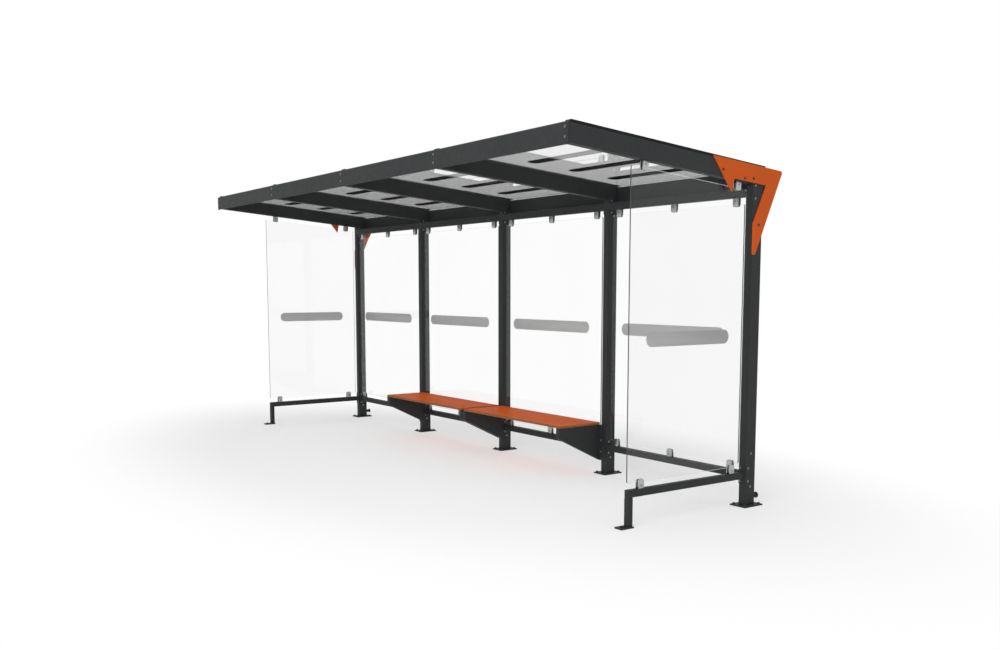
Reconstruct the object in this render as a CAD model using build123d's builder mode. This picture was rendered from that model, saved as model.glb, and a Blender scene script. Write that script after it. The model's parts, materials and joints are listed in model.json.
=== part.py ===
from build123d import *
import os
from math import cos, radians, tan

# Bus shelter: a row of steel posts carries a single-pitch roof that falls to a rear gutter.
# Clear panes hang in clamps at the back and at both ends, and a bench runs along the middle bays.
# X runs along the shelter, +Y to its back, +Z up. The origin is on the ground, under the middle.

# Plan of the frame, in millimetres
bay_count = 4
bay_length = 1500.0
roof_reach = 1661.0  # from the posts' front faces to the front of the roof
tail_reach = 299.0  # from the posts' front faces to the rear tips of the corner plates
side_reach = 1125.0  # from the posts' front faces to the front of the side legs

# Posts and their base plates
post_width = 60.0
post_depth = 100.0
base_plate_width = 140.0
base_plate_depth = 190.0
base_plate_thick = 10.0
base_hole_diameter = 14.0
base_hole_spacing_x = 100.0
base_hole_spacing_y = 150.0

# Roof frame
fall_angle = 5.0  # degrees, down to the back
rafter_seat_height = 2281.0  # underside of the rafters over the posts' front faces
rafter_width = 60.0
rafter_depth = 122.0
fascia_thick = 10.0
fascia_drop = 10.0  # the fascia hangs this far below the rafters' front ends

# Roof sheets, the strips that hold them down and the dark bands under them
roof_pane_thick = 8.0
roof_pane_gap = 10.0
roof_pane_setback = 5.0  # the sheets stop this far behind the fascia
roof_pane_tail = 22.0  # the sheets reach this far past the posts' rear faces
roof_pane_clearance = 2.0
cap_width = 60.0
cap_height = 9.0
cap_lip = 8.0  # the end strips turn down beside the outer edge of the sheet
cap_front_setback = 25.0
roof_band_rows = 4
roof_band_inset = 236.0  # from a bay's edges to the ends of its bands
roof_band_width = 98.0
roof_band_pitch = 392.0
roof_band_first = 180.0  # from the posts' front faces forward to the last row
band_thick = 1.0

# Rear rails, flush with the posts' front faces, each with a bolted plate welded to both ends
rail_depth = 50.0
top_rail_height = 60.0
top_rail_drop = 24.0  # below the rafters' seat
bottom_rail_height = 50.0
bottom_rail_top = 251.0
end_plate_thick = 6.0
top_plate_overhang = 30.0  # above and below a top rail
low_plate_overhang = 40.0  # above and below a bottom or side rail

# Gutter behind the posts
gutter_width = 150.0
gutter_height = 125.0
gutter_wall = 4.0
gutter_drop = 9.0  # below the rafters' rear ends
outlet_width = 50.0  # the outlets lead from the gutter's ends into the end posts
outlet_reach = 85.0
outlet_nose = 40.0
outlet_depth = 65.0

# Drain spouts low on the back of the end posts
spout_height = 64.0
spout_length = 54.0
spout_diameter = 32.0
spout_bore = 24.0
spout_collar_diameter = 44.0
spout_collar_length = 10.0

# Side frames
side_bar = 40.0
foot_plate_width = 70.0
foot_plate_length = 110.0
foot_plate_thick = 10.0
foot_hole_diameter = 14.0
foot_hole_setback = 28.0

# Clear panes and their clamps
pane_thick = 10.0
pane_corner = 15.0
pane_stand_off = 44.0  # between a pane's edge and the rail that carries its clamps
pane_post_gap = 36.0  # between a pane and the post beside it
clamp_width = 50.0
clamp_thick = 30.0
clamp_grip = 18.0
clamp_clearance = 0.3
rear_clamp_inset = 74.0  # from a rear pane's side edges to the outer clamps
rear_clamp_count = 3
side_clamp_front_inset = 118.0  # from the front edge of a side pane
side_clamp_rear_inset = 93.0  # from its rear edge

# Warning bands on the panes
pane_band_height = 98.0
pane_band_centre_height = 1228.0
rear_band_inset = 138.0  # from a rear pane's side edges, before the shift
rear_band_shift = -20.0  # the rear bands sit a little to the left of their panes
side_band_inset = 151.0  # from a side pane's edges

# Corner plates on both ends of the roof
corner_plate_thick = 8.0
corner_rise = 7.0  # the upper arm stands this far above the rafter
corner_front_reach = 414.0  # front tip of the upper arm, forward of the post front
corner_spike_reach = 226.0
corner_spike_drop = 85.0  # below the rafter's underside
corner_notch_reach = 203.0
corner_notch_tail = 27.0  # the notch ends this far behind the posts
corner_bend_drop = 272.0  # from the rafters' seat down to the bend in the lower arm
corner_tip_drop = 487.0  # from the rafters' seat down to the lower tip
corner_tip_width = 27.0
corner_round = 16.0
corner_tip_round = 6.0

# Bench
seat_top = 435.0
seat_thick = 20.0
seat_front_reach = 444.0
seat_back_gap = 5.0
seat_end_gap = 13.0  # to the inner face of the post at each end
seat_joint = 56.0
arm_width = 45.0
arm_joint = 10.0  # between the two arms on the middle post
arm_nose_height = 86.0
arm_root_height = 303.0
arm_plate_thick = 8.0

cut_overrun = 5.0

# Places worked out from the plan
fall = tan(radians(fall_angle))
steep = cos(radians(fall_angle))
half_run = bay_count * bay_length / 2
post_places = [number * bay_length - half_run for number in range(bay_count + 1)]
bay_centres = [(number + 0.5) * bay_length - half_run for number in range(bay_count)]
post_front = (roof_reach - tail_reach) / 2
post_rear = post_front + post_depth
post_middle = post_front + post_depth / 2
rail_middle = post_front + rail_depth / 2
fascia_front = post_front - roof_reach
fascia_rear = fascia_front + fascia_thick
roof_pane_rear = post_rear + roof_pane_tail
roof_half_length = half_run + rafter_width / 2
post_gap = bay_length - post_width
top_rail_under = rafter_seat_height - top_rail_drop - top_rail_height
bottom_rail_under = bottom_rail_top - bottom_rail_height
leg_front = post_front - side_reach
seat_front = post_front - seat_front_reach
seat_rear = post_front - seat_back_gap
seat_under = seat_top - seat_thick
seat_end = bay_length - post_width / 2 - seat_end_gap


def rafter_under(y):
    """Height of the rafters' underside at y."""
    return rafter_seat_height - (y - post_front) * fall


def rafter_over(y):
    """Height of the rafters' top at y, where the roof sheets lie."""
    return rafter_under(y) + rafter_depth / steep


def sheet_over(y):
    """Height of the roof sheets' upper face at y."""
    return rafter_over(y) + roof_pane_thick / steep


def save(piece, name):
    """Labels a finished piece and writes it."""
    piece.label = name
    export_step(piece, f"parts/{name}.step")


os.makedirs("parts", exist_ok=True)

# Posts: box section, cut to the fall of the roof at the top
for number, x in enumerate(post_places, start=1):
    with BuildPart() as rear_post:
        with BuildSketch(Plane.YZ.offset(x - post_width / 2)):
            with BuildLine():
                Polyline(
                    (post_front, base_plate_thick),
                    (post_rear, base_plate_thick),
                    (post_rear, rafter_under(post_rear)),
                    (post_front, rafter_under(post_front)),
                    close=True,
                )
            make_face()
        extrude(amount=post_width)
    save(rear_post.part, f"rear_post_{number}")

# Base plates, one under each post, with holes for ground anchors
with BuildPart() as post_base_plates:
    with BuildSketch():
        with Locations(*[(x, post_middle) for x in post_places]):
            Rectangle(base_plate_width, base_plate_depth)
            with GridLocations(base_hole_spacing_x, base_hole_spacing_y, 2, 2):
                Circle(base_hole_diameter / 2, mode=Mode.SUBTRACT)
    extrude(amount=base_plate_thick)
save(post_base_plates.part, "post_base_plates")

# Rafters: box section on the posts, square to the fascia at the front
for number, x in enumerate(post_places, start=1):
    with BuildPart() as rafter:
        with BuildSketch(Plane.YZ.offset(x - rafter_width / 2)):
            with BuildLine():
                Polyline(
                    (fascia_rear, rafter_under(fascia_rear)),
                    (post_rear, rafter_under(post_rear)),
                    (post_rear, rafter_over(post_rear)),
                    (fascia_rear, rafter_over(fascia_rear)),
                    close=True,
                )
            make_face()
        extrude(amount=rafter_width)
    save(rafter.part, f"rafter_{number}")

# Front fascia across the rafter ends, as high as their tops
fascia_under = rafter_under(fascia_rear) - fascia_drop
with BuildPart() as front_fascia:
    with BuildSketch(Plane.XY.offset(fascia_under)):
        with Locations((0, (fascia_front + fascia_rear) / 2)):
            Rectangle(2 * roof_half_length, fascia_thick)
    extrude(amount=rafter_over(fascia_rear) - fascia_under)
save(front_fascia.part, "front_fascia")

# Roof sheets, one to a bay, lying on the rafters behind the fascia
roof_pane_front = fascia_rear + roof_pane_setback
sheet_outer_edge = roof_half_length - cap_lip - roof_pane_clearance
for number, x in enumerate(bay_centres, start=1):
    sheet_left = x - bay_length / 2 + roof_pane_gap / 2
    sheet_right = x + bay_length / 2 - roof_pane_gap / 2
    if number == 1:
        sheet_left = -sheet_outer_edge
    if number == bay_count:
        sheet_right = sheet_outer_edge
    with BuildPart() as roof_pane:
        with BuildSketch(Plane.YZ.offset(sheet_left)):
            with BuildLine():
                Polyline(
                    (roof_pane_front, rafter_over(roof_pane_front)),
                    (roof_pane_rear, rafter_over(roof_pane_rear)),
                    (roof_pane_rear, sheet_over(roof_pane_rear)),
                    (roof_pane_front, sheet_over(roof_pane_front)),
                    close=True,
                )
            make_face()
        extrude(amount=sheet_right - sheet_left)
    save(roof_pane.part, f"roof_pane_{number}")

# Cap strips over the joints of the sheets; the two at the ends turn down to the rafter
cap_front = fascia_front + cap_front_setback
with BuildPart() as roof_cap_strips:
    for x in post_places:
        cap_middle = x
        if abs(x) == half_run:
            cap_middle = (roof_half_length - cap_width / 2) * x / half_run
        with BuildSketch(Plane.YZ.offset(cap_middle - cap_width / 2)):
            with BuildLine():
                Polyline(
                    (cap_front, sheet_over(cap_front)),
                    (roof_pane_rear, sheet_over(roof_pane_rear)),
                    (roof_pane_rear, sheet_over(roof_pane_rear) + cap_height),
                    (cap_front, sheet_over(cap_front) + cap_height),
                    close=True,
                )
            make_face()
        extrude(amount=cap_width)
    for lip_left in (-roof_half_length, roof_half_length - cap_lip):
        with BuildSketch(Plane.YZ.offset(lip_left)):
            with BuildLine():
                Polyline(
                    (cap_front, rafter_over(cap_front)),
                    (roof_pane_rear, rafter_over(roof_pane_rear)),
                    (roof_pane_rear, sheet_over(roof_pane_rear) + cap_height / 2),
                    (cap_front, sheet_over(cap_front) + cap_height / 2),
                    close=True,
                )
            make_face()
        extrude(amount=cap_lip)
save(roof_cap_strips.part, "roof_cap_strips")

# Dark bands on the underside of the roof sheets, with round ends
with BuildPart() as roof_bands:
    for x in bay_centres:
        for row in range(roof_band_rows):
            band_y = post_front - roof_band_first - row * roof_band_pitch
            roof_plane = Plane(
                origin=(x, band_y, rafter_over(band_y)),
                x_dir=(1, 0, 0),
                z_dir=(0, -fall, -1),
            )
            with BuildSketch(roof_plane):
                SlotOverall(bay_length - 2 * roof_band_inset, roof_band_width)
            extrude(amount=band_thick)
save(roof_bands.part, "roof_bands")

# Rear rails with their end plates, between neighbouring posts
rail_length = post_gap - 2 * end_plate_thick
plate_reach = (post_gap - end_plate_thick) / 2
for name, rail_under, rail_height, overhang in (
    ("rear_top_rails", top_rail_under, top_rail_height, top_plate_overhang),
    ("rear_bottom_rails", bottom_rail_under, bottom_rail_height, low_plate_overhang),
):
    with BuildPart() as rear_rails:
        with BuildSketch(Plane.XY.offset(rail_under)):
            with Locations(*[(x, rail_middle) for x in bay_centres]):
                Rectangle(rail_length, rail_depth)
        extrude(amount=rail_height)
        with BuildSketch(Plane.XY.offset(rail_under - overhang)):
            for x in bay_centres:
                with Locations((x - plate_reach, rail_middle), (x + plate_reach, rail_middle)):
                    Rectangle(end_plate_thick, rail_depth)
        extrude(amount=rail_height + 2 * overhang)
    save(rear_rails.part, name)

# Gutter: an open channel along the posts' rear faces, closed at both ends
gutter_under = rafter_under(post_rear) - gutter_drop
gutter_middle = post_rear + gutter_width / 2
with BuildPart() as gutter:
    with BuildSketch(Plane.XY.offset(gutter_under)):
        with Locations((0, gutter_middle)):
            Rectangle(2 * roof_half_length, gutter_width)
    extrude(amount=gutter_height)
    with BuildSketch(Plane.XY.offset(gutter_under + gutter_wall)):
        with Locations((0, gutter_middle)):
            Rectangle(2 * (roof_half_length - gutter_wall), gutter_width - 2 * gutter_wall)
    extrude(amount=gutter_height + cut_overrun, mode=Mode.SUBTRACT)
save(gutter.part, "gutter")

# Outlets: hoppers under the gutter's ends, against the rear faces of the end posts
with BuildPart() as gutter_outlets:
    for x in (post_places[0], post_places[-1]):
        with BuildSketch(Plane.YZ.offset(x - outlet_width / 2)):
            with BuildLine():
                Polyline(
                    (post_rear, gutter_under),
                    (post_rear + outlet_reach, gutter_under),
                    (post_rear + outlet_nose, gutter_under - outlet_depth),
                    (post_rear, gutter_under - outlet_depth),
                    close=True,
                )
            make_face()
        extrude(amount=outlet_width)
save(gutter_outlets.part, "gutter_outlets")

# Drain spouts on the back of the two end posts
with BuildPart() as drain_spouts:
    for x in (-half_run, half_run):
        spout_root = Plane(origin=(x, post_rear, spout_height), x_dir=(1, 0, 0), z_dir=(0, 1, 0))
        with BuildSketch(spout_root):
            Circle(spout_diameter / 2)
            Circle(spout_bore / 2, mode=Mode.SUBTRACT)
        extrude(amount=spout_length)
        with BuildSketch(spout_root.offset(spout_length - spout_collar_length)):
            Circle(spout_collar_diameter / 2)
            Circle(spout_bore / 2, mode=Mode.SUBTRACT)
        extrude(amount=spout_collar_length)
save(drain_spouts.part, "drain_spouts")

# Side frames: a low rail from the end post to a short leg on a foot plate
for side, x in (("left", -half_run), ("right", half_run)):
    rail_rear = post_front - end_plate_thick
    with BuildPart() as side_rail:
        with BuildSketch(Plane.XY.offset(bottom_rail_under)):
            with Locations((x, (leg_front + rail_rear) / 2)):
                Rectangle(side_bar, rail_rear - leg_front)
        extrude(amount=bottom_rail_height)
        with BuildSketch(Plane.XY.offset(bottom_rail_under - low_plate_overhang)):
            with Locations((x, post_front - end_plate_thick / 2)):
                Rectangle(post_width, end_plate_thick)
        extrude(amount=bottom_rail_height + 2 * low_plate_overhang)
    save(side_rail.part, f"side_rail_{side}")

    with BuildPart() as side_leg:
        with BuildSketch(Plane.XY.offset(foot_plate_thick)):
            with Locations((x, leg_front + side_bar / 2)):
                Rectangle(side_bar, side_bar)
        extrude(amount=bottom_rail_under - foot_plate_thick)
    save(side_leg.part, f"side_leg_{side}")

foot_rear = leg_front + side_bar
with BuildPart() as side_foot_plates:
    with BuildSketch():
        with Locations(*[(x, foot_rear - foot_plate_length / 2) for x in (-half_run, half_run)]):
            Rectangle(foot_plate_width, foot_plate_length)
        with Locations(
            *[(x, foot_rear - foot_plate_length + foot_hole_setback) for x in (-half_run, half_run)]
        ):
            Circle(foot_hole_diameter / 2, mode=Mode.SUBTRACT)
    extrude(amount=foot_plate_thick)
save(side_foot_plates.part, "side_foot_plates")

# Rear panes, one to a bay, in the middle plane of the rails
rear_pane_under = bottom_rail_top + pane_stand_off
rear_pane_over = top_rail_under - pane_stand_off
rear_pane_width = post_gap - 2 * pane_post_gap
rear_pane_face = Plane(
    origin=(0, rail_middle + pane_thick / 2, 0), x_dir=(1, 0, 0), z_dir=(0, -1, 0)
)
for number, x in enumerate(bay_centres, start=1):
    with BuildPart() as rear_pane:
        with BuildSketch(rear_pane_face):
            with Locations((x, (rear_pane_under + rear_pane_over) / 2)):
                RectangleRounded(rear_pane_width, rear_pane_over - rear_pane_under, pane_corner)
        extrude(amount=pane_thick)
    save(rear_pane.part, f"rear_pane_{number}")

# Side panes: the top edge runs parallel to the rafter above
side_pane_front = leg_front
side_pane_rear = post_front - pane_post_gap
side_pane_under = bottom_rail_top + pane_stand_off
for side, x in (("left", -half_run), ("right", half_run)):
    with BuildPart() as side_pane:
        with BuildSketch(Plane.YZ.offset(x - pane_thick / 2)) as pane_outline:
            with BuildLine():
                Polyline(
                    (side_pane_front, side_pane_under),
                    (side_pane_rear, side_pane_under),
                    (side_pane_rear, rafter_under(side_pane_rear) - pane_stand_off),
                    (side_pane_front, rafter_under(side_pane_front) - pane_stand_off),
                    close=True,
                )
            make_face()
            fillet(pane_outline.vertices(), radius=pane_corner)
        extrude(amount=pane_thick)
    save(side_pane.part, f"side_pane_{side}")

# Clamps: each bridges from a rail to a pane and grips the pane's edge in a slot
clamp_height = pane_stand_off + clamp_grip
slot_width = pane_thick + 2 * clamp_clearance
slot_depth = clamp_grip + clamp_clearance
rear_clamp_pitch = (rear_pane_width - 2 * rear_clamp_inset) / (rear_clamp_count - 1)
rear_clamp_places = [
    (x - rear_pane_width / 2 + rear_clamp_inset + step * rear_clamp_pitch, rail_middle)
    for x in bay_centres
    for step in range(rear_clamp_count)
]
for name, clamp_under, slot_under in (
    ("rear_top_clamps", top_rail_under - clamp_height, top_rail_under - clamp_height),
    ("rear_bottom_clamps", bottom_rail_top, bottom_rail_top + clamp_height - slot_depth),
):
    with BuildPart() as rear_clamps:
        with BuildSketch(Plane.XY.offset(clamp_under)):
            with Locations(*rear_clamp_places):
                Rectangle(clamp_width, clamp_thick)
        extrude(amount=clamp_height)
        with BuildSketch(Plane.XY.offset(slot_under)):
            with Locations(*rear_clamp_places):
                Rectangle(clamp_width + cut_overrun, slot_width)
        extrude(amount=slot_depth, mode=Mode.SUBTRACT)
    save(rear_clamps.part, name)

# Side clamps: the upper ones follow the slope of the rafter that carries them
side_clamp_places = [side_pane_front + side_clamp_front_inset, side_pane_rear - side_clamp_rear_inset]
for side, x in (("left", -half_run), ("right", half_run)):
    with BuildPart() as side_clamps:
        for y in side_clamp_places:
            clamp_front = y - clamp_width / 2
            clamp_rear = y + clamp_width / 2
            with BuildSketch(Plane.YZ.offset(x - clamp_thick / 2)):
                with BuildLine():
                    Polyline(
                        (clamp_front, rafter_under(clamp_front) - clamp_height),
                        (clamp_rear, rafter_under(clamp_rear) - clamp_height),
                        (clamp_rear, rafter_under(clamp_rear)),
                        (clamp_front, rafter_under(clamp_front)),
                        close=True,
                    )
                make_face()
            extrude(amount=clamp_thick)
            slot_front = clamp_front - cut_overrun
            slot_rear = clamp_rear + cut_overrun
            with BuildSketch(Plane.YZ.offset(x - slot_width / 2)):
                with BuildLine():
                    Polyline(
                        (slot_front, rafter_under(slot_front) - clamp_height - cut_overrun),
                        (slot_rear, rafter_under(slot_rear) - clamp_height - cut_overrun),
                        (slot_rear, rafter_under(slot_rear) - clamp_height + slot_depth),
                        (slot_front, rafter_under(slot_front) - clamp_height + slot_depth),
                        close=True,
                    )
                make_face()
            extrude(amount=slot_width, mode=Mode.SUBTRACT)
        with BuildSketch(Plane.XY.offset(bottom_rail_top)):
            with Locations(*[(x, y) for y in side_clamp_places]):
                Rectangle(clamp_thick, clamp_width)
        extrude(amount=clamp_height)
        with BuildSketch(Plane.XY.offset(bottom_rail_top + clamp_height - slot_depth)):
            with Locations(*[(x, y) for y in side_clamp_places]):
                Rectangle(slot_width, clamp_width + cut_overrun)
        extrude(amount=slot_depth, mode=Mode.SUBTRACT)
    save(side_clamps.part, f"side_clamps_{side}")

# Warning bands on the front of the rear panes and on the outside of the side panes
rear_band_face = Plane(
    origin=(0, rail_middle - pane_thick / 2, 0), x_dir=(1, 0, 0), z_dir=(0, -1, 0)
)
with BuildPart() as rear_pane_bands:
    with BuildSketch(rear_band_face):
        with Locations(*[(x + rear_band_shift, pane_band_centre_height) for x in bay_centres]):
            SlotOverall(rear_pane_width - 2 * rear_band_inset, pane_band_height)
    extrude(amount=band_thick)
save(rear_pane_bands.part, "rear_pane_bands")

side_pane_middle = (side_pane_front + side_pane_rear) / 2
side_band_length = side_pane_rear - side_pane_front - 2 * side_band_inset
with BuildPart() as side_pane_bands:
    for band_left in (-half_run - pane_thick / 2 - band_thick, half_run + pane_thick / 2):
        with BuildSketch(Plane.YZ.offset(band_left)):
            with Locations((side_pane_middle, pane_band_centre_height)):
                SlotOverall(side_band_length, pane_band_height)
        extrude(amount=band_thick)
save(side_pane_bands.part, "side_pane_bands")

# Corner plates flat on the ends of the roof frame and on the end posts
corner_front = post_front - corner_front_reach
corner_back = post_front + tail_reach
spike_y = post_front - corner_spike_reach
notch_y = post_front - corner_notch_reach
notch_back = post_rear + corner_notch_tail
bend_height = rafter_seat_height - corner_bend_drop
tip_height = rafter_seat_height - corner_tip_drop
for side, plate_left in (
    ("left", -roof_half_length - corner_plate_thick),
    ("right", roof_half_length),
):
    with BuildPart() as corner_plate:
        with BuildSketch(Plane.YZ.offset(plate_left)) as corner_outline:
            with BuildLine():
                Polyline(
                    (corner_front, rafter_over(corner_front) + corner_rise),
                    (spike_y, rafter_under(spike_y) - corner_spike_drop),
                    (notch_y, rafter_under(notch_y) + corner_rise),
                    (notch_back, rafter_under(notch_back) + corner_rise),
                    (post_front, bend_height),
                    (post_front, tip_height),
                    (post_front + corner_tip_width, tip_height),
                    (corner_back, rafter_over(corner_back) + corner_rise),
                    close=True,
                )
            make_face()
            fillet(corner_outline.vertices().sort_by(Axis.X)[-1], radius=corner_round)
            fillet(corner_outline.vertices().group_by(Axis.Y)[0], radius=corner_tip_round)
        extrude(amount=corner_plate_thick)
    save(corner_plate.part, f"corner_plate_{side}")

# Bench arms: tapered boxes fixed to the posts, a pair under each seat
arm_spans = (
    (-seat_end, arm_width, -bay_length - post_width / 2),
    (-arm_joint / 2 - arm_width, arm_width, None),
    (arm_joint / 2, arm_width, None),
    (seat_end - arm_width, arm_width, bay_length + post_width / 2),
)
with BuildPart() as bench_arms:
    for arm_left, width, plate_end in arm_spans:
        with BuildSketch(Plane.YZ.offset(arm_left)):
            with BuildLine():
                Polyline(
                    (seat_front, seat_under),
                    (seat_front, seat_under - arm_nose_height),
                    (post_front, seat_under - arm_root_height),
                    (post_front, seat_under),
                    close=True,
                )
            make_face()
        extrude(amount=width)
        if plate_end is not None:
            arm_middle = arm_left + width / 2
            with BuildSketch(Plane.XY.offset(seat_under - arm_root_height)):
                with Locations(((arm_middle + plate_end) / 2, post_front - arm_plate_thick / 2)):
                    Rectangle(abs(plate_end - arm_middle), arm_plate_thick)
            extrude(amount=arm_root_height)
save(bench_arms.part, "bench_arms")

# Bench seats, one to a bay, lying on the arms
for side, seat_left in (("left", -seat_end), ("right", seat_joint / 2)):
    seat_length = seat_end - seat_joint / 2
    with BuildPart() as bench_seat:
        with BuildSketch(Plane.XY.offset(seat_under)):
            with Locations((seat_left + seat_length / 2, (seat_front + seat_rear) / 2)):
                Rectangle(seat_length, seat_rear - seat_front)
        extrude(amount=seat_thick)
    save(bench_seat.part, f"bench_seat_{side}")
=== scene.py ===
# %% [markdown]
# # A bus shelter, dressed for its portrait
# The shelter's frame, panes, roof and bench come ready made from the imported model.
# This lesson gives them their finishes and adds the small parts that make the shelter believable:
# bolts, ground anchors, glass clamps, worked glass edges and thin films. Everything is in metres,
# with +X along the shelter, +Y to its back and +Z up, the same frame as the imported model.

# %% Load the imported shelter
import json
import math

import bmesh
import bpy
from mathutils import Matrix, Vector


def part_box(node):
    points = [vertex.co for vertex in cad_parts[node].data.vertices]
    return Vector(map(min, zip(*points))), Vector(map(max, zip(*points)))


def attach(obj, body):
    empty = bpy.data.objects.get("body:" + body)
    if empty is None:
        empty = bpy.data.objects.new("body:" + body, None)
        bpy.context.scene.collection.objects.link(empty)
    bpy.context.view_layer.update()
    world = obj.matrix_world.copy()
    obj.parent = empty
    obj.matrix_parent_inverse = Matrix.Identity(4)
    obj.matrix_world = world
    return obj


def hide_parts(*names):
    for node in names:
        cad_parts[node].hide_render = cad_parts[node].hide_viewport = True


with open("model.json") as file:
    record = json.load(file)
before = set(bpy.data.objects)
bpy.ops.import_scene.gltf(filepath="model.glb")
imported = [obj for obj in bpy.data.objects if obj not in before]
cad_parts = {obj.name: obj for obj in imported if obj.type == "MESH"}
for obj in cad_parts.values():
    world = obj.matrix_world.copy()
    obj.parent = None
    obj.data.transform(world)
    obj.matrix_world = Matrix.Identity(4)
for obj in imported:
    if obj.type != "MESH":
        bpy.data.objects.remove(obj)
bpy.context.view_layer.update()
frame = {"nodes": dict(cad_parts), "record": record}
nodes = frame["nodes"]
scene = bpy.context.scene

# %% [markdown]
# ## Where things are
# Bolts and clamps sit on faces of the frame, so their places are read from the boxes of the packed
# nodes instead of being typed in twice. A changed post spacing then carries its bolts along.
# Of the roof only the fall is a number here, because a box can't tell a slope.

# %% Read the places of posts, rails and roof
post_count = 5
post_boxes = [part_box(f"rear_post_{number}") for number in range(1, post_count + 1)]
post_middles = [(low.x + high.x) / 2 for low, high in post_boxes]
post_front, post_rear = post_boxes[0][0].y, post_boxes[0][1].y
post_centre = (post_front + post_rear) / 2
post_half = (post_boxes[0][1].x - post_boxes[0][0].x) / 2
end_posts = ((post_middles[0], -1), (post_middles[-1], 1))
top_rail_low, top_rail_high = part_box("rear_top_rails")
low_rail_low, low_rail_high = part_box("rear_bottom_rails")
rail_line = (top_rail_low.y + top_rail_high.y) / 2
roof_tilt = math.radians(5.0)
roof_fall = math.tan(roof_tilt)
rafter_low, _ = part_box("rafter_1")
rafter_seat = rafter_low.z + (post_rear - post_front) * roof_fall
print("posts at", [round(x, 2) for x in post_middles], "rafter seat", round(rafter_seat, 3))

# %% [markdown]
# ## A kit for the finishes
# Every finish is a Principled shader with a little structure of its own: a slow drift of colour,
# a fine grain in the roughness and a small bump. The grain is measured in metres, because the
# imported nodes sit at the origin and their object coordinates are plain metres.
# Values that are the same all over stay on the shader's own sockets.

# %% Helpers for procedural materials
noise_low, noise_high = 0.3, 0.7  # nearly all values of a noise texture lie between these


def new_finish(name):
    """A node material, its node tree and its Principled shader."""
    finish = bpy.data.materials.new(name)
    finish.use_nodes = True
    return finish, finish.node_tree, finish.node_tree.nodes["Principled BSDF"]


def noise(tree, scale, detail=2.0, stretch=(1.0, 1.0, 1.0)):
    """A noise texture in object metres, stretched where a finish has a direction."""
    place = tree.nodes.new("ShaderNodeTexCoord")
    turn = tree.nodes.new("ShaderNodeMapping")
    turn.inputs["Scale"].default_value = stretch
    grain = tree.nodes.new("ShaderNodeTexNoise")
    grain.inputs["Scale"].default_value = scale
    grain.inputs["Detail"].default_value = detail
    tree.links.new(place.outputs["Object"], turn.inputs["Vector"])
    tree.links.new(turn.outputs["Vector"], grain.inputs["Vector"])
    return grain.outputs["Fac"]


def spread(tree, value, low, high):
    """Maps a noise value onto low to high."""
    step = tree.nodes.new("ShaderNodeMapRange")
    step.inputs["From Min"].default_value = noise_low
    step.inputs["From Max"].default_value = noise_high
    step.inputs["To Min"].default_value = low
    step.inputs["To Max"].default_value = high
    tree.links.new(value, step.inputs["Value"])
    return step.outputs["Result"]


def two_tone(tree, value, colour, darker, lighter):
    """A colour that drifts between a darker and a lighter shade with a noise value."""
    blend = tree.nodes.new("ShaderNodeMix")
    blend.data_type = "RGBA"
    blend.inputs["A"].default_value = (*(channel * darker for channel in colour), 1.0)
    blend.inputs["B"].default_value = (*(channel * lighter for channel in colour), 1.0)
    tree.links.new(spread(tree, value, 0.0, 1.0), blend.inputs["Factor"])
    return blend.outputs["Result"]


def tint(tree, shader, value, colour, darker, lighter):
    """Lets the shader's colour drift with a noise value."""
    tree.links.new(two_tone(tree, value, colour, darker, lighter), shader.inputs["Base Color"])


def dull(tree, shader, value, low, high):
    """Lets the shader's roughness vary from low to high with a noise value."""
    tree.links.new(spread(tree, value, low, high), shader.inputs["Roughness"])


def roughen(tree, shader, value, height, strength):
    """A bump of that height in metres."""
    bump = tree.nodes.new("ShaderNodeBump")
    bump.inputs["Distance"].default_value = height
    bump.inputs["Strength"].default_value = strength
    tree.links.new(value, bump.inputs["Height"])
    tree.links.new(bump.outputs["Normal"], shader.inputs["Normal"])


# %% [markdown]
# ## Powder coat and boards
# The steel is stove-enamelled in anthracite, the corner plates in orange. Powder coat has a faint
# orange-peel skin about two millimetres across, which breaks up reflections on long flat tubes.
# A texture picture could show that too, but a noise in metres stays sharp at any distance.
# The bench boards are solid laminate: an orange face with a brown core that shows on the edges,
# and the face is told from the edge by the direction of the surface.

# %% Painted steel
def powder_coat(name, colour, roughness, gloss):
    """Painted steel with an orange-peel skin."""
    finish, tree, shader = new_finish(name)
    tint(tree, shader, noise(tree, scale=1.7, detail=3.0), colour, darker=0.9, lighter=1.1)
    dull(tree, shader, noise(tree, scale=35.0), roughness - 0.06, roughness + 0.06)
    shader.inputs["Specular IOR Level"].default_value = gloss
    roughen(tree, shader, noise(tree, scale=480.0, detail=1.0), height=0.0002, strength=0.15)
    return finish


anthracite = powder_coat("anthracite_powder_coat", (0.0200, 0.0217, 0.0224), roughness=0.57, gloss=0.19)
orange_coat = powder_coat("orange_powder_coat", (0.465, 0.072, 0.005), roughness=0.5, gloss=0.12)
print("paint", anthracite.name, orange_coat.name)


# %% Laminate boards
def level_faces(tree):
    """1 where the surface lies level, 0 where it stands upright."""
    facing = tree.nodes.new("ShaderNodeNewGeometry")
    upright = tree.nodes.new("ShaderNodeSeparateXYZ")
    level = tree.nodes.new("ShaderNodeMath")
    level.operation = "ABSOLUTE"
    is_face = tree.nodes.new("ShaderNodeMapRange")
    is_face.inputs["From Min"].default_value = 0.55
    is_face.inputs["From Max"].default_value = 0.75
    tree.links.new(facing.outputs["Normal"], upright.inputs["Vector"])
    tree.links.new(upright.outputs["Z"], level.inputs[0])
    tree.links.new(level.outputs["Value"], is_face.inputs["Value"])
    return is_face.outputs["Result"]


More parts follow.
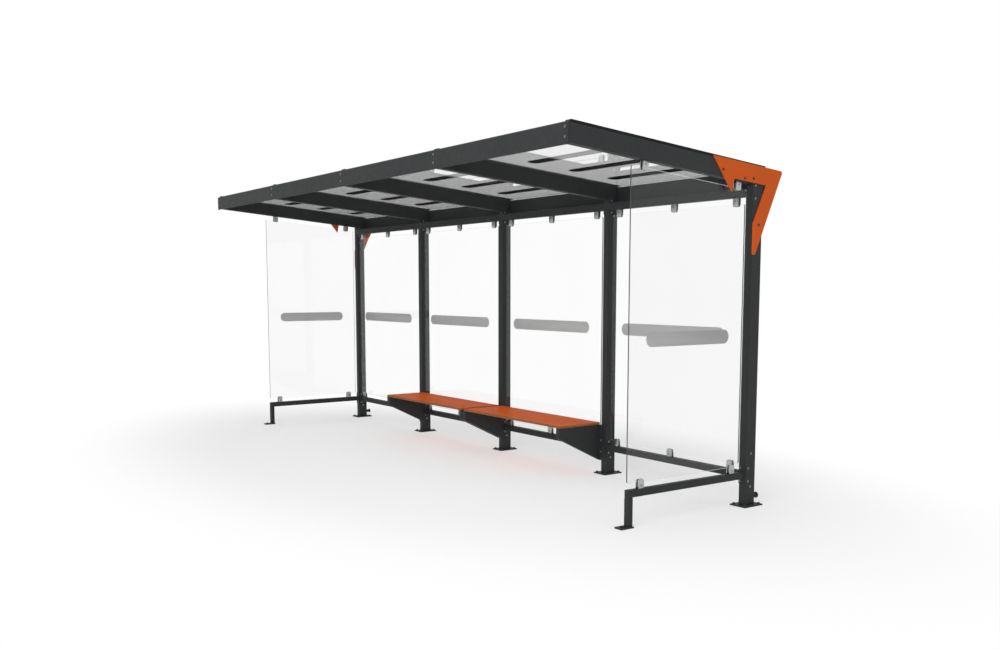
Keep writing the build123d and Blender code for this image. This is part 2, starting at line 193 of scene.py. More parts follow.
def laminate_board(name, face, core):
    """Solid laminate: coloured faces, a brown core on the edges, a fine pearl grain."""
    finish, tree, shader = new_finish(name)
    core_lines = noise(tree, scale=30.0, detail=3.0, stretch=(0.2, 1.0, 8.0))
    face_grain = noise(tree, scale=3.0, detail=4.0, stretch=(0.4, 3.0, 3.0))
    layers = tree.nodes.new("ShaderNodeMix")
    layers.data_type = "RGBA"
    tree.links.new(level_faces(tree), layers.inputs["Factor"])
    tree.links.new(two_tone(tree, core_lines, core, darker=0.7, lighter=1.2), layers.inputs["A"])
    tree.links.new(two_tone(tree, face_grain, face, darker=0.92, lighter=1.08), layers.inputs["B"])
    tree.links.new(layers.outputs["Result"], shader.inputs["Base Color"])
    dull(tree, shader, noise(tree, scale=60.0), low=0.42, high=0.55)
    shader.inputs["Specular IOR Level"].default_value = 0.02
    roughen(tree, shader, noise(tree, scale=700.0), height=0.00015, strength=0.4)
    return finish


seat_laminate = laminate_board("seat_laminate", face=(0.69, 0.113, 0.012), core=(0.22, 0.095, 0.04))
print("boards", seat_laminate.name)

# %% [markdown]
# ## Glass, roof sheet and film
# The panes are ten millimetres of clear toughened glass. A solid pane with real refraction shifts
# and mirrors a little of what is around it, which a sheet without thickness would not. Its index is
# set below that of real glass, which keeps the mirror images as faint as in the photograph.
# The roof sheets are smoke grey and glossy; they let part of the light through. The bands on the
# panes are etched-look film, which scatters the light from behind, so all of them look alike
# wherever the lamp stands. Those under the roof are opaque and nearly black.

# %% Clear and tinted sheets
def clear_sheet(name, colour, roughness, transmission, ior):
    """Glass or plastic sheet: a faint drift in its tint and a hint of waviness."""
    finish, tree, shader = new_finish(name)
    tint(tree, shader, noise(tree, scale=1.3), colour, darker=0.99, lighter=1.0)
    shader.inputs["Transmission Weight"].default_value = transmission
    shader.inputs["IOR"].default_value = ior
    dull(tree, shader, noise(tree, scale=6.0), roughness, roughness + 0.01)
    roughen(tree, shader, noise(tree, scale=1.5, detail=0.0), height=0.0005, strength=0.02)
    return finish


faint_glass = {"roughness": 0.0, "transmission": 1.0, "ior": 1.25}
rear_glass = clear_sheet("clear_rear_glass", (0.972, 0.974, 0.973), **faint_glass)
# The side panes take a darker tint than the rear panes of the same glass; the difference is painted shade.
shade_tinted_side_glass = clear_sheet("clear_glass_painted_shade_side", (0.952, 0.954, 0.953), **faint_glass)
smoke_sheet = clear_sheet("smoke_roof_sheet", (0.845, 0.85, 0.85),
                          roughness=0.01, transmission=0.92, ior=1.45)
print("sheets", rear_glass.name, shade_tinted_side_glass.name, smoke_sheet.name)


# %% Films, and cut edges with painted shade
def film(name, colour, roughness, grain_scale, let_through=0.0):
    """A thin dull layer with a fine speckle, which may let part of the light through."""
    finish, tree, shader = new_finish(name)
    if let_through:
        shader.inputs["Transmission Weight"].default_value = let_through
        shader.inputs["IOR"].default_value = 1.2
    tint(tree, shader, noise(tree, grain_scale, detail=3.0), colour, darker=0.93, lighter=1.07)
    dull(tree, shader, noise(tree, scale=25.0), roughness * 0.9, roughness * 1.1)
    roughen(tree, shader, noise(tree, grain_scale, detail=1.0), height=0.0001, strength=0.3 * roughness)
    return finish


# The near-black edge colours below are painted shade for the dark look of glass edges and cut sheet edges.
painted_glass_edge_shade = film("glass_edge_painted_shade", (0.030, 0.036, 0.034), roughness=0.5, grain_scale=700.0)
painted_sheet_edge_shade = film("sheet_cut_edge_painted_shade", (0.045, 0.046, 0.046), roughness=0.5, grain_scale=700.0)
etched_film = film("etched_grey_film", (0.485, 0.485, 0.483),
                   roughness=0.7, grain_scale=900.0, let_through=0.6)
black_film = film("black_roof_film", (0.006, 0.006, 0.0065), roughness=0.07, grain_scale=600.0)
print("films", etched_film.name, black_film.name)

# %% [markdown]
# ## Bare steel, rubber and plastic
# Clamps and bolts are satin stainless steel, brushed along one direction. The cap strips and the
# pads in the clamps are black rubber, dull and slightly dusty. The spouts are moulded plastic.
# A plain grey would do from afar, but close up the brushing is what tells steel from paint.

# %% Small-part finishes
def satin_steel(name, colour, roughness, stretch):
    """Brushed stainless steel: a stretched noise in colour, roughness and bump."""
    finish, tree, shader = new_finish(name)
    shader.inputs["Metallic"].default_value = 1.0
    brushed = noise(tree, scale=260.0, detail=3.0, stretch=stretch)
    tint(tree, shader, brushed, colour, darker=0.88, lighter=1.08)
    dull(tree, shader, brushed, roughness - 0.08, roughness + 0.1)
    roughen(tree, shader, brushed, height=0.00008, strength=0.4)
    return finish


def dull_rubber(name, colour, roughness):
    """Rubber or moulded plastic with a fine matt grain."""
    finish, tree, shader = new_finish(name)
    tint(tree, shader, noise(tree, scale=14.0, detail=4.0), colour, darker=0.8, lighter=1.5)
    dull(tree, shader, noise(tree, scale=90.0), roughness - 0.07, roughness + 0.07)
    shader.inputs["Specular IOR Level"].default_value = 0.2
    roughen(tree, shader, noise(tree, scale=800.0, detail=1.0), height=0.0001, strength=0.4)
    return finish


brushed_along, brushed_down = (0.15, 1.0, 1.0), (1.0, 1.0, 0.3)
clamp_steel = satin_steel("satin_clamp_steel", (0.44, 0.45, 0.45), 0.33, brushed_along)
bolt_steel = satin_steel("dulled_bolt_steel", (0.27, 0.27, 0.265), 0.42, brushed_down)
anchor_steel = satin_steel("blackened_anchor_steel", (0.085, 0.085, 0.083), 0.5, brushed_down)
strip_rubber = dull_rubber("black_strip_rubber", (0.0035, 0.0035, 0.0037), roughness=0.7)
spout_plastic = dull_rubber("black_spout_plastic", (0.016, 0.017, 0.018), roughness=0.4)
print("small parts", clamp_steel.name, strip_rubber.name)

# %% [markdown]
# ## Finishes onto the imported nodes
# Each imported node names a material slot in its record. A short table from slot to finish paints
# all of them, so nothing is forgotten. Tubes and folded sheet have rounded edges that catch light.
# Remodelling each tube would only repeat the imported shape, so a weld and a small bevel modifier
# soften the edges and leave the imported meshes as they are. A second weld closes the slivers that a
# bevel leaves in flush corners. The drilled plates keep their cut edges, because a bevel would fold
# the narrow faces between their holes.

# %% Paint the nodes and soften their edges
finish_of_slot = {
    "frame_paint": anthracite, "orange_paint": orange_coat, "seat_board": seat_laminate,
    "clear_glass": rear_glass, "roof_sheet": smoke_sheet, "cap_strip": strip_rubber,
    "roof_band": black_film, "clamp_steel": clamp_steel, "pane_film": etched_film,
    "spout_plastic": spout_plastic,
}
edge_of_slot = {"frame_paint": 0.003, "orange_paint": 0.0012, "cap_strip": 0.001,
                "spout_plastic": 0.0015, "seat_board": 0.004}
drilled_plates = ("post_base_plates", "side_foot_plates")
same_point = 0.00002  # corners closer than this are one corner


def join_corners(node, name):
    """A modifier that joins corners in the same place."""
    joined = node.modifiers.new(name, "WELD")
    joined.merge_threshold = same_point


def soften(node, width):
    """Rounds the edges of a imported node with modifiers."""
    join_corners(node, "joined_corners")
    rounded = node.modifiers.new("rounded_edges", "BEVEL")
    rounded.width = width
    rounded.segments = 3
    rounded.limit_method = "ANGLE"
    rounded.angle_limit = math.radians(35.0)
    rounded.harden_normals = True
    join_corners(node, "closed_slivers")


for entry in frame["record"]["subparts"]:
    node, slot_name = nodes[entry["node"]], entry["material_slot"]
    node.data.materials.clear()
    node.data.materials.append(finish_of_slot[slot_name])
    if slot_name in edge_of_slot and entry["node"] not in drilled_plates:
        soften(node, edge_of_slot[slot_name])

# %% [markdown]
# ## Panes and roof sheets with worked edges
# Toughened glass has ground edges with a small arris. Their dark look next to the clear faces, and that of
# the roof sheets' cut edges, is painted shade. One material can't be clear and opaque by turns, so each
# sheet is copied from its imported node, its narrow faces get a near-black colour as painted shade, and a
# bevel cuts the arris. On the panes only the upright edges are painted dark, as in the photograph. The
# clear sheets are kept out of the shadow rays, because a renderer would otherwise treat glass as a wall for
# lamplight.

# %% Copy the sheets and give them edges
arris = 0.001
flat_angle = 0.001  # faces that meet at less than this, in radians, are one face
broad_limit, upright_limit = 0.9, 0.5  # cosines that tell broad faces and upright edges


def worked_sheet(node, face_finish, narrow_face_shade, slot_name):
    """A copy of a packed sheet with an arris and painted shade on its narrow faces."""
    source = nodes[node].data
    points = [vert.co.copy() for vert in source.vertices]
    mesh = bpy.data.meshes.new(f"{node}_worked")
    mesh.from_pydata(points, [], [list(face.vertices) for face in source.polygons])
    mesh.materials.append(face_finish)
    mesh.materials.append(narrow_face_shade)
    cleaned = bmesh.new()
    cleaned.from_mesh(mesh)
    bmesh.ops.remove_doubles(cleaned, verts=cleaned.verts, dist=same_point)
    bmesh.ops.dissolve_limit(cleaned, angle_limit=flat_angle, verts=cleaned.verts, edges=cleaned.edges)
    across = max(cleaned.faces, key=lambda face: face.calc_area()).normal.copy()

    def breadth(face):
        """1 on the sheet's broad faces, 0 on its narrow ones."""
        return abs(face.normal.dot(across))

    rims = [edge for edge in cleaned.edges if len(edge.link_faces) == 2
            and 0.5 < sum(breadth(face) for face in edge.link_faces) < 1.5]
    bmesh.ops.bevel(cleaned, geom=rims, offset=arris, segments=1, profile=0.5, affect="EDGES")
    # Narrow faces get the painted shade: all of them on the roof sheets, the upright ones on the panes.
    for face in cleaned.faces:
        dark_here = slot_name == "roof_sheet" or abs(face.normal.z) < upright_limit
        face.material_index = 1 if breadth(face) < broad_limit and dark_here else 0
    cleaned.to_mesh(mesh)
    cleaned.free()
    sheet = bpy.data.objects.new(f"{node}_worked", mesh)
    scene.collection.objects.link(sheet)
    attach(sheet, "root")
    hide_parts(node)
    sheet.visible_shadow = False
    return len(mesh.polygons)


for number in range(1, post_count):
    worked_sheet(f"rear_pane_{number}", rear_glass, painted_glass_edge_shade, "clear_glass")
    worked_sheet(f"roof_pane_{number}", smoke_sheet, painted_sheet_edge_shade, "roof_sheet")
side_faces = [worked_sheet(f"side_pane_{side}", shade_tinted_side_glass, painted_glass_edge_shade, "clear_glass")
              for side in ("left", "right")]
print("worked sheets, faces on the side panes", side_faces)

# %% [markdown]
# ## A kit for the small parts
# Bolts, anchors and clamps are many copies of one small shape. Each shape is made once as a list
# of points and faces, then set down at every place with a matrix, and all copies of a kind share
# one object. Linked duplicates would do as well, but one mesh keeps the list of pieces short.

# %% Helpers that collect copies in one mesh
def stand_on(place, direction, turn=0.0):
    """A matrix that puts a part's foot at place and its axis along direction."""
    upright = Vector(direction).to_track_quat("Z", "Y").to_matrix().to_4x4()
    return Matrix.Translation(place) @ upright @ Matrix.Rotation(turn, 4, "Z")


def set_down(name, shape, places, finish, smooth=40.0):
    """One object that holds a copy of shape at each matrix in places."""
    verts, faces = shape
    points, polygons = [], []
    for place in places:
        start = len(points)
        points += [place @ Vector(point) for point in verts]
        polygons += [[start + corner for corner in face] for face in faces]
    mesh = bpy.data.meshes.new(name)
    mesh.from_pydata(points, [], polygons)
    mesh.materials.append(finish)
    mesh.shade_smooth()
    mesh.set_sharp_from_angle(angle=math.radians(smooth))
    piece = bpy.data.objects.new(name, mesh)
    scene.collection.objects.link(piece)
    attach(piece, "root")
    print(name, len(places), "copies,", len(polygons), "faces")
    return piece


def turned(rings, sides=24):
    """A lathe: rings are (radius, height, corners), where 6 corners bend the ring into a hexagon."""
    verts, faces = [], []
    for radius, height, corners in rings:
        for side in range(sides):
            angle = 2 * math.pi * side / sides
            reach = radius
            if corners:
                share = math.pi / corners
                reach = radius * math.cos(share) / math.cos((angle % (2 * share)) - share)
            verts.append((reach * math.cos(angle), reach * math.sin(angle), height))
    for ring in range(len(rings) - 1):
        for side in range(sides):
            near, far = ring * sides + side, ring * sides + (side + 1) % sides
            faces.append([near, far, far + sides, near + sides])
    faces.append(list(range(sides))[::-1])
    faces.append([len(verts) - sides + side for side in range(sides)])
    return verts, faces


# %% [markdown]
# ## Bolts of the frame
# On the real shelter every rail ends in a plate that is bolted to its post above and below the
# rail. The fascia is bolted to each rafter end, and each corner plate has four bolts. Most of them
# show as pale dots in the dark paint. They are button-head bolts with a hexagon socket on a washer;
# a lathe profile gives the dome, and bending the socket's rings to six corners gives the socket.

# %% Make the bolt
hexagon = 6
washer_radius, washer_top = 0.0095, 0.0017
head_radius, head_top = 0.0072, 0.0062
socket_radius, socket_floor = 0.0038, 0.0034
button_bolt = turned([
    (washer_radius, 0.0, 0), (washer_radius, 0.0012, 0), (0.0090, washer_top, 0),
    (head_radius, washer_top, 0), (head_radius, 0.0026, 0), (0.0067, 0.0042, 0),
    (0.0056, 0.0055, 0), (0.0042, head_top, 0),
    (socket_radius, head_top, hexagon), (socket_radius, socket_floor, hexagon),
])
print("bolt", len(button_bolt[1]), "faces")

# %% [markdown]
# The rails' end plates are six millimetres thick and lie on the posts' sides. The outer faces of
# the end posts have none, and there the bolt sits on the post itself. Each plate has a bolt near
# its upper and its lower end, so the heights follow from the boxes of the rails with their plates.

# %% Bolts of the rails' end plates
plate_thick = 0.006
plate_faces = []
for middle in post_middles:
    for side in (-1, 1):
        face = middle + side * post_half
        has_plate = abs(face) < abs(post_middles[0])
        plate_faces.append((face + side * plate_thick if has_plate else face, side))
bolt_inset, lowest_bolt_inset = 0.015, 0.021
rail_bolt_heights = (low_rail_low.z + lowest_bolt_inset, low_rail_high.z - bolt_inset,
                     top_rail_low.z + bolt_inset, top_rail_high.z - bolt_inset)
rail_bolts = [stand_on((x, rail_line, height), (side, 0, 0), turn=0.3)
              for x, side in plate_faces for height in rail_bolt_heights]
set_down("rail_bolts", button_bolt, rail_bolts, bolt_steel)

side_rail_low, side_rail_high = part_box("side_rail_right")
side_bolt_low, side_bolt_high, side_bolt_shift = 0.020, 0.014, 0.016
side_bolt_heights = (side_rail_low.z + side_bolt_low, side_rail_high.z - side_bolt_high)
side_bolts = [stand_on((x - side * side_bolt_shift, post_front - plate_thick, height), (0, -1, 0), turn=0.5)
              for x, side in end_posts for height in side_bolt_heights]
set_down("side_rail_bolts", button_bolt, side_bolts, bolt_steel)

# %% [markdown]
# One more bolt goes right through each post below the low rails, and the end posts have another
# above them on their outer faces. The outer bench arms end in a plate with two bolts, and the
# fascia has a pair of bolts in front of every rafter.

# %% Bolts of the posts, the bench arms and the fascia
low_bolt_height, end_bolt_height = 0.141, 0.381
through_bolts = [stand_on((x + side * post_half, post_centre, low_bolt_height), (side, 0, 0), turn=0.2)
                 for x in post_middles for side in (-1, 1)]
through_bolts += [stand_on((x + side * post_half, post_centre, end_bolt_height), (side, 0, 0), turn=0.6)
                  for x, side in end_posts]
set_down("post_through_bolts", button_bolt, through_bolts, bolt_steel)

_, arm_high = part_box("bench_arms")
arm_bolt_inset, arm_plate_thick, arm_bolt_heights = 0.056, 0.008, (0.186, 0.285)
arm_bolt_line = arm_high.x - arm_bolt_inset
arm_bolts = [stand_on((side * arm_bolt_line, post_front - arm_plate_thick, height), (0, -1, 0), turn=0.35)
             for side in (-1, 1) for height in arm_bolt_heights]
set_down("bench_arm_bolts", button_bolt, arm_bolts, bolt_steel)

fascia_low, fascia_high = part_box("front_fascia")
fascia_bolt_rise, fascia_bolt_step = 0.010, 0.03
fascia_middle = (fascia_low.z + fascia_high.z) / 2 + fascia_bolt_rise
fascia_bolts = [stand_on((x, fascia_low.y, fascia_middle + step), (0, -1, 0), turn=0.2)
                for x in post_middles for step in (-fascia_bolt_step, fascia_bolt_step)]
set_down("fascia_bolts", button_bolt, fascia_bolts, bolt_steel)

# %% [markdown]
# The corner plates are held by three bolts in the rafter and one in the post. Their places are
# given along Y and Z from the point where the rafter's underside meets the post's front face.

# %% Bolts of the corner plates
_, corner_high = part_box("corner_plate_right")
corner_bolt_places = [(-0.316, 0.078), (-0.097, 0.033), (-0.009, 0.036), (0.058, -0.280)]
corner_bolts = [stand_on((side * corner_high.x, post_front + along, rafter_seat + up), (side, 0, 0), turn=0.1)
                for side in (-1, 1) for along, up in corner_bolt_places]
set_down("corner_plate_bolts", button_bolt, corner_bolts, anchor_steel)

# %% [markdown]
# ## Ground anchors
# Each post stands on a plate with four holes, and each end leg on a small plate with one. On the
# street a threaded rod comes up through every hole, with a washer and a hexagon nut on it. The same
# lathe makes all three in one profile: a round washer, a ring bent to six corners for the nut with
# its chamfer, and the rod's end. Their heights are read from the plates' boxes, and every nut stops
# at a turn of its own.

# %% Make the anchors
rod_radius, thread_radius, disc_radius, nut_radius = 0.0060, 0.0054, 0.0150, 0.0112
anchor_nut = turned([
    (0.0062, -0.0095, 0), (0.0062, 0.0, 0), (disc_radius, 0.0, 0), (disc_radius, 0.0020, 0),
    (0.0146, 0.0023, 0), (0.0096, 0.0023, 0), (nut_radius, 0.0030, hexagon), (nut_radius, 0.0078, hexagon),
    (0.0096, 0.0086, 0), (rod_radius, 0.0086, 0), (rod_radius, 0.0092, 0), (thread_radius, 0.0097, 0),
    (rod_radius, 0.0102, 0), (thread_radius, 0.0107, 0), (0.0046, 0.0114, 0),
], sides=36)
anchor_half_x, anchor_half_y, foot_hole_setback = 0.05, 0.075, 0.028


def nut_turn(number, dx):
    """The turn at which a nut came to rest, in radians."""
    return 0.4 + 3.1 * number + 40.0 * dx


_, base_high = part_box("post_base_plates")
foot_low, foot_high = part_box("side_foot_plates")
anchors = [stand_on((x + dx, post_centre + dy, base_high.z), (0, 0, 1), nut_turn(number, dx))
           for number, x in enumerate(post_middles)
           for dx in (-anchor_half_x, anchor_half_x) for dy in (-anchor_half_y, anchor_half_y)]
anchors += [stand_on((x, foot_low.y + foot_hole_setback, foot_high.z), (0, 0, 1), turn=0.8)
            for x, _ in end_posts]
set_down("ground_anchors", anchor_nut, anchors, anchor_steel)

# %% [markdown]
# ## Glass clamps
# A pane hangs between pairs of jaws: each clamp is two steel plates on a rubber core, with a rubber
# pad between each plate and the glass. In the photograph the free ends of the jaws are rounded.
# A box with a slot would miss that, so one plate is drawn as a profile with a chamfered tip, pulled
# along its width, and its two outer corners are rounded in bmesh before all edges get a small bevel.
# Axes of a clamp: u along the rail, v across the glass, w away from the rail.

# %% Make one plate of a clamp
clamp_width, clamp_height, clamp_grip = 0.050, 0.062, 0.018
jaw_inner, jaw_outer = 0.0060, 0.015  # from the middle of the glass
tip_chamfer, tip_round, edge_round = 0.003, 0.009, 0.0012
touching = 1e-6


def clamp_plate():
    """One steel plate of a clamp, its free end chamfered and rounded."""
    profile = [(jaw_inner, 0.0), (jaw_outer, 0.0), (jaw_outer, clamp_height - tip_chamfer),
               (jaw_outer - tip_chamfer, clamp_height), (jaw_inner, clamp_height)]
    plate = bmesh.new()
    near = [plate.verts.new((-clamp_width / 2, v, w)) for v, w in profile]
    far = [plate.verts.new((clamp_width / 2, v, w)) for v, w in profile]
    plate.faces.new(near)
    plate.faces.new(far[::-1])
    for step in range(len(profile)):
        after = (step + 1) % len(profile)
        plate.faces.new([near[step], far[step], far[after], near[after]])
    bmesh.ops.recalc_face_normals(plate, faces=plate.faces)
    tip_start = clamp_height - tip_chamfer - touching
    tips = [edge for edge in plate.edges
            if abs(edge.verts[0].co.x - edge.verts[1].co.x) < touching
            and min(vert.co.z for vert in edge.verts) > tip_start]
    bmesh.ops.bevel(plate, geom=tips, offset=tip_round, segments=5, profile=0.5, affect="EDGES")
    sharp = [edge for edge in plate.edges
             if len(edge.link_faces) == 2 and edge.calc_face_angle() > math.radians(50)]
    bmesh.ops.bevel(plate, geom=sharp, offset=edge_round, segments=2, profile=0.5, affect="EDGES")
    bmesh.ops.remove_doubles(plate, verts=plate.verts, dist=same_point)
    plate.normal_update()
    plate.verts.index_update()
    points = [tuple(vert.co) for vert in plate.verts]
    faces = [[vert.index for vert in face.verts] for face in plate.faces]
    plate.free()
    return points, faces


def pair(shape):
    """A shape and its twin on the other side of the glass, as one shape."""
    verts, faces = shape
    twin = [(-x, -y, z) for x, y, z in verts]
    return verts + twin, faces + [[corner + len(verts) for corner in face] for face in faces]


jaws = pair(clamp_plate())
print("pair of jaws", len(jaws[1]), "faces")

# %% [markdown]
# The clamps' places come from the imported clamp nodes: the lumps of one node are told apart by
# walking over joined corners, and the middle of each lump's box is where a clamp goes. Clamps under
# the end rafters lean with the roof.

# %% Find every clamp and set the detailed ones down
def lumps(node):
    """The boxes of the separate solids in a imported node."""
    copy = bmesh.new()
    copy.from_mesh(nodes[node].data)
    bmesh.ops.remove_doubles(copy, verts=copy.verts, dist=same_point)
    left, boxes = set(copy.verts), []
    while left:
        todo, lump = [left.pop()], []
        while todo:
            vert = todo.pop()
            lump.append(vert.co.copy())
            for edge in vert.link_edges:
                other = edge.other_vert(vert)
                if other in left:
                    left.remove(other)
                    todo.append(other)
        boxes.append((Vector([min(p[i] for p in lump) for i in range(3)]),
                      Vector([max(p[i] for p in lump) for i in range(3)])))
    copy.free()
    return sorted(boxes, key=lambda box: tuple(round(c, 4) for c in box[0]))


def seated(foot, along, away):
    """The matrix of a part on its foot, from its u and w directions."""
    u, w = Vector(along).normalized(), Vector(away).normalized()
    v = w.cross(u)
    return Matrix.Translation(foot) @ Matrix((u, v, w)).transposed().to_4x4()


def rafter_under(y):
    """Height of the rafters' underside at y."""
    return rafter_seat - (y - post_front) * roof_fall


roof_slope = (0, math.cos(roof_tilt), -math.sin(roof_tilt))
roof_down = (0, -math.sin(roof_tilt), -math.cos(roof_tilt))
clamp_places = []
for low, high in lumps("rear_top_clamps"):
    clamp_places.append(seated(((low.x + high.x) / 2, rail_line, high.z), (1, 0, 0), (0, 0, -1)))
for low, high in lumps("rear_bottom_clamps"):
    clamp_places.append(seated(((low.x + high.x) / 2, rail_line, low.z), (1, 0, 0), (0, 0, 1)))
for node in ("side_clamps_left", "side_clamps_right"):
    for low, high in lumps(node):
        x, y = (low.x + high.x) / 2, (low.y + high.y) / 2
        if low.z > rafter_seat / 2:
            clamp_places.append(seated((x, y, rafter_under(y)), roof_slope, roof_down))
        else:
            clamp_places.append(seated((x, y, low.z), (0, 1, 0), (0, 0, 1)))

clamps = set_down("glass_clamps", jaws, clamp_places, clamp_steel, smooth=30.0)
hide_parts("rear_top_clamps", "rear_bottom_clamps", "side_clamps_left", "side_clamps_right")

# %% [markdown]
# A pad sits on both sides of the glass, a hair clear of it, and the core fills the clamp between
# the rail and the edge of the glass. One screw head shows on the outside of each plate. All are
# small shapes again, so the pad's four-sided rings and the lathe are enough.

# %% Pads, cores and screws of the clamps
def pad(length, width, low, high):
    """A rubber block between two heights, its rims rounded by inset rings."""
    rim, rim_height = 0.001, 0.0004
    rings = [(rim, low), (0.0, low + rim_height), (0.0, high - rim_height), (rim, high)]
    verts = [(sx * (length / 2 - inset), sy * (width / 2 - inset), w)
             for inset, w in rings for sx, sy in ((-1, -1), (1, -1), (1, 1), (-1, 1))]
    faces = [[4 * ring + i, 4 * ring + (i + 1) % 4, 4 * ring + 4 + (i + 1) % 4, 4 * ring + 4 + i]
             for ring in range(3) for i in range(4)]
    return verts, faces + [[3, 2, 1, 0], [12, 13, 14, 15]]


pad_length, pad_width, pad_low, pad_high = 0.046, 0.0165, 0.00508, 0.00595
pad_turns = [Matrix.Translation((0, 0, clamp_height - clamp_grip / 2)) @ Matrix.Rotation(turn, 4, "X")
             for turn in (-math.pi / 2, math.pi / 2)]
pads = [place @ turn for place in clamp_places for turn in pad_turns]
set_down("clamp_pads", pad(pad_length, pad_width, pad_low, pad_high), pads, strip_rubber)

core_length, core_gap, core_end_gap = 0.0485, 0.0001, 0.0006
core_top = clamp_height - clamp_grip - core_end_gap
core = pad(core_length, 2 * jaw_inner - core_gap, core_gap, core_top)
set_down("clamp_cores", core, clamp_places, strip_rubber)

screw_radius, screw_socket, screw_height = 0.0062, 0.0026, 0.022
clamp_screw = turned([
    (screw_radius, 0.0, 0), (0.0060, 0.0010, 0), (0.0052, 0.0022, 0), (0.0036, 0.0029, 0),
    (screw_socket, 0.0030, hexagon), (screw_socket, 0.0012, hexagon),
], sides=18)
screw_turns = [Matrix.Translation((0, side * jaw_outer, screw_height))
               @ Matrix.Rotation(-side * math.pi / 2, 4, "X") for side in (-1, 1)]
screws = [place @ turn for place in clamp_places for turn in screw_turns]
set_down("clamp_screws", clamp_screw, screws, bolt_steel)

# %% [markdown]
# ## Films on the panes
# A grey band of etched-look film on every pane makes the clear glass easy to see. Film is far
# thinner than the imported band, and a face that lies exactly on glass renders black, so each band is
# made again as a round-ended strip with a soft edge, a fraction of a millimetre clear of the pane.

# %% Make the film bands
def round_band(length, height, thick, steps=16):
    """A flat strip with round ends; its front edge is drawn in a little, as cut film looks."""
    outline = []
    for end, turn in ((1, 0.0), (-1, math.pi)):
        for step in range(steps + 1):
            outline.append((end * (length - height) / 2, turn + math.pi * (step / steps - 0.5)))
    verts = []
    for inset, w in ((0.0, 0.0), (0.0, thick * 0.5), (thick * 0.6, thick)):
        radius = height / 2 - inset
        verts += [(middle + radius * math.cos(angle), radius * math.sin(angle), w)
                  for middle, angle in outline]
    count = len(outline)
    faces = []
    for ring in range(2):
        for here in range(count):
            near, far = ring * count + here, ring * count + (here + 1) % count
            faces.append([near, far, far + count, near + count])
    faces += [list(range(count))[::-1], [2 * count + here for here in range(count)]]
    return verts, faces


film_gap, film_thick = 0.00025, 0.0005
rear_films = lumps("rear_pane_bands")
low, high = rear_films[0]
rear_strip = round_band(high.x - low.x, high.z - low.z, film_thick)
rear_places = []
for low, high in rear_films:
    foot = ((low.x + high.x) / 2, high.y - film_gap, (low.z + high.z) / 2)
    rear_places.append(seated(foot, (1, 0, 0), (0, -1, 0)))
rear_bands = set_down("rear_film_bands", rear_strip, rear_places, etched_film)
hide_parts("rear_pane_bands")

side_films = lumps("side_pane_bands")
low, high = side_films[0]
side_strip = round_band(high.y - low.y, high.z - low.z, film_thick)
side_places = []
for low, high in side_films:
    side = 1 if low.x > 0 else -1
    inner = low.x if side > 0 else high.x
    foot = (inner + side * film_gap, (low.y + high.y) / 2, (low.z + high.z) / 2)
    side_places.append(seated(foot, (0, 1, 0), (side, 0, 0)))
side_bands = set_down("side_film_bands", side_strip, side_places, etched_film)
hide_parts("side_pane_bands")

# %% [markdown]
# ## Camera
# The photograph was taken from the right, a little in front, about one and a half metres above the
# ground. Its perspective fixes the place: lines along X, Y and Z of the shelter meet where they
# should with this lens. The small vertical shift stands for a picture that was cropped more at the
# bottom.

# %% Set up the camera
eye_right, eye_in_front, eye_height = 7.613, 5.4067, 1.5643
eye_pitch, eye_turn = math.radians(83.92), math.radians(54.658)
view = bpy.data.cameras.new("portrait_camera")
view.sensor_width = 36.0
view.lens = 35.016
view.shift_y = 0.0669
view.clip_end = 200.0
camera = bpy.data.objects.new("portrait_camera", view)
camera.location = (eye_right, post_front - eye_in_front, eye_height)
camera.rotation_euler = (eye_pitch, 0.0, eye_turn)
scene.collection.objects.link(camera)
scene.camera = camera
print("camera at", [round(v, 2) for v in camera.location])

# %% [markdown]
# ## Floor
# The portrait stands on a plain pale floor that fades into a white background. Near the shelter
# about half of the floor's white is diffuse, so that it takes the shadow; further out the floor
# turns into plain white that shines by itself. The fade is an oval, longer along the shelter.

# %% Build the floor
def pale_floor(reach):
    """A round floor whose rim fades to white."""
    finish, tree, shader = new_finish("pale_floor")
    shader.inputs["Base Color"].default_value = (0.93, 0.93, 0.93, 1.0)
    shader.inputs["Roughness"].default_value = 0.9
    shader.inputs["Specular IOR Level"].default_value = 0.1
    place = tree.nodes.new("ShaderNodeTexCoord")
    squeeze = tree.nodes.new("ShaderNodeMapping")
    squeeze.inputs["Scale"].default_value = (0.55, 1.0, 1.0)
    away = tree.nodes.new("ShaderNodeVectorMath")
    away.operation = "LENGTH"
    rim = tree.nodes.new("ShaderNodeMapRange")
    rim.interpolation_type = "SMOOTHSTEP"
    rim.inputs["From Min"].default_value = 1.6
    rim.inputs["From Max"].default_value = 3.2
    rim.inputs["To Min"].default_value = 0.45
    white = tree.nodes.new("ShaderNodeEmission")
    fade = tree.nodes.new("ShaderNodeMixShader")
    tree.links.new(place.outputs["Object"], squeeze.inputs["Vector"])
    tree.links.new(squeeze.outputs["Vector"], away.inputs[0])
    tree.links.new(away.outputs["Value"], rim.inputs["Value"])
    tree.links.new(rim.outputs["Result"], fade.inputs["Fac"])
    tree.links.new(shader.outputs["BSDF"], fade.inputs[1])
    tree.links.new(white.outputs["Emission"], fade.inputs[2])
    tree.links.new(fade.outputs["Shader"], tree.nodes["Material Output"].inputs["Surface"])
    mesh = bpy.data.meshes.new("pale_floor")
    disc = bmesh.new()
    bmesh.ops.create_circle(disc, cap_ends=True, segments=96, radius=reach)
    disc.to_mesh(mesh)
    disc.free()
    mesh.materials.append(finish)
    floor = bpy.data.objects.new("pale_floor", mesh)
    scene.collection.objects.link(floor)
    return floor


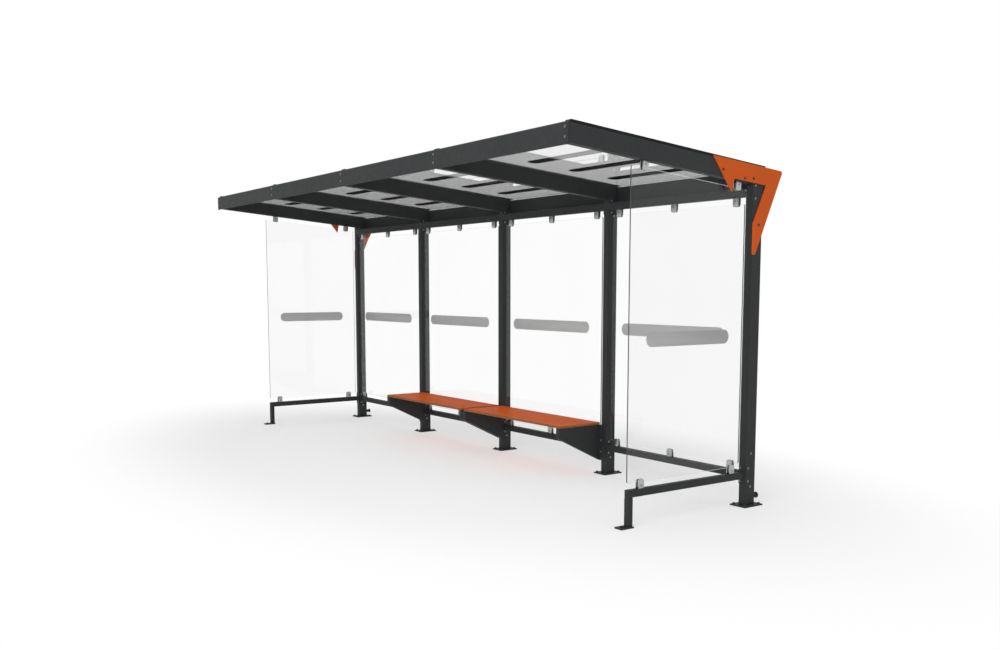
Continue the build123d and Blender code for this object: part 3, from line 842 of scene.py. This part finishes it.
floor = pale_floor(reach=60.0)
print("floor", floor.name)

# %% [markdown]
# ## Light
# The light is an even world and one large soft lamp from the front right. The camera, mirror images
# and views through glass meet plain white, and everything else gets a dimmer, even light. The lamp
# is left out of mirror images and of views through glass, where it would show as a bright patch.

# %% Light the world
plain_white = (1.0, 1.0, 1.0, 1.0)
world = bpy.data.worlds.new("white_studio")
world.use_nodes = True
scene.world = world
sky = world.node_tree
even = sky.nodes["Background"]
even.inputs["Color"].default_value = plain_white
even.inputs["Strength"].default_value = 0.62
shown = sky.nodes.new("ShaderNodeBackground")
shown.inputs["Color"].default_value = plain_white
rays = sky.nodes.new("ShaderNodeLightPath")
direct = sky.nodes.new("ShaderNodeMath")
direct.operation = "MAXIMUM"
seen = sky.nodes.new("ShaderNodeMath")
seen.operation = "MAXIMUM"
choose = sky.nodes.new("ShaderNodeMixShader")
sky.links.new(rays.outputs["Is Camera Ray"], direct.inputs[0])
sky.links.new(rays.outputs["Is Glossy Ray"], direct.inputs[1])
sky.links.new(direct.outputs["Value"], seen.inputs[0])
sky.links.new(rays.outputs["Is Transmission Ray"], seen.inputs[1])
sky.links.new(seen.outputs["Value"], choose.inputs["Fac"])
sky.links.new(even.outputs["Background"], choose.inputs[1])
sky.links.new(shown.outputs["Background"], choose.inputs[2])
sky.links.new(choose.outputs["Shader"], sky.nodes["World Output"].inputs["Surface"])
print("world", world.name)

# %% Hang the lamp
lamp_place, lamp_aim = Vector((6.5, -8.0, 3.4)), Vector((0.0, 0.2, 1.2))
lamp = bpy.data.lights.new("front_softbox", "AREA")
lamp.shape = "RECTANGLE"
lamp.size, lamp.size_y = 8.0, 5.0
lamp.energy = 720.0
softbox = bpy.data.objects.new("front_softbox", lamp)
softbox.location = lamp_place
softbox.rotation_euler = (lamp_aim - lamp_place).to_track_quat("-Z", "Y").to_euler()
softbox.visible_glossy = False
softbox.visible_transmission = False
scene.collection.objects.link(softbox)
scene.view_settings.view_transform = "Standard"
print("lit by", lamp.name, "and", world.name)
